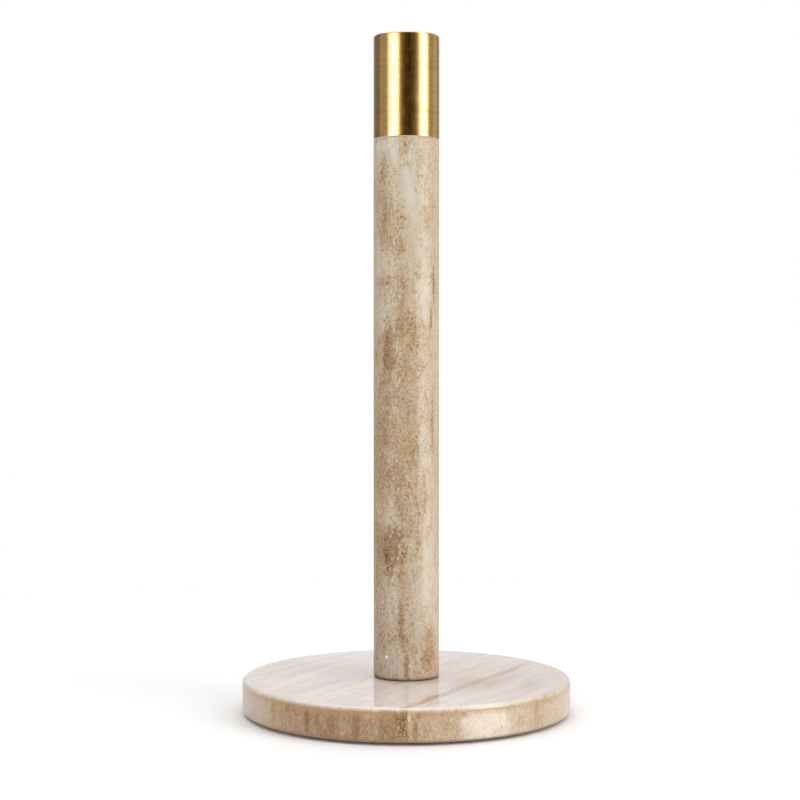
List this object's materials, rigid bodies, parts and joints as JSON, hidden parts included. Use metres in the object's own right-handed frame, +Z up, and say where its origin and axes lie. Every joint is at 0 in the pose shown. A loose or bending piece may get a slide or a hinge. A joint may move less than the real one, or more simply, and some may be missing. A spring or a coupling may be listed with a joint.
{
  "type": "paper towel holder",
  "caption": "Free-standing paper towel holder: round polished stone base, straight stone post and a screw-on brushed brass cap, clamped together by a hidden threaded rod.",
  "frame": {"origin": "on the surface the holder stands on, at the axis of the post and the disc", "axes": "+Z up along the post; the holder is round, so +X and +Y only name the feet, which stand at 45 degrees to them"},
  "size_m": [0.15, 0.15, 0.3086],
  "materials": {
    "stone_base": "polished",
    "stone_post": "polished",
    "brushed_brass": "satin",
    "turned_aluminium": "satin",
    "zinc_plated_steel": "satin",
    "spring_steel": "satin",
    "black_rubber": "matte",
    "brown_gasket": "matte",
    "pale_nylon": "matte",
    "foot_rubber": "matte"
  },
  "bodies": {
    "stand": {"base": "stone_base", "column": "stone_post", "column_seat_gasket": "brown_gasket", "tie_rod": "zinc_plated_steel", "upper_cushion_washer": "black_rubber", "upper_flat_washer": "zinc_plated_steel", "upper_spring_washer": "spring_steel", "upper_clamp_nut": "zinc_plated_steel", "lower_cushion_washer": "black_rubber", "lower_flat_washer": "zinc_plated_steel", "lower_spring_washer": "spring_steel", "lower_clamp_nut": "zinc_plated_steel", "foot_front_left": "foot_rubber", "foot_front_right": "foot_rubber", "foot_back_right": "foot_rubber", "foot_back_left": "foot_rubber"},
    "cap_ring": {"cap_rim_ring": "pale_nylon"},
    "cap": {"cap_shell": "brushed_brass", "cap_insert": "turned_aluminium"}
  },
  "joints": [
    {"name": "cap_lift", "type": "slide", "parent": "stand", "child": "cap_ring", "axis": [0, 0, 1], "range_m": [0, 0.0101]},
    {"name": "cap_turn", "type": "hinge", "parent": "cap_ring", "child": "cap", "pos_m": [0, 0, 0.28], "axis": [0, 0, 1], "range_deg": [0, 2880]}
  ],
  "couplings": [
    {"joint": "cap_lift", "follows": "cap_turn", "m_per_rad": 0.00019894}
  ]
}
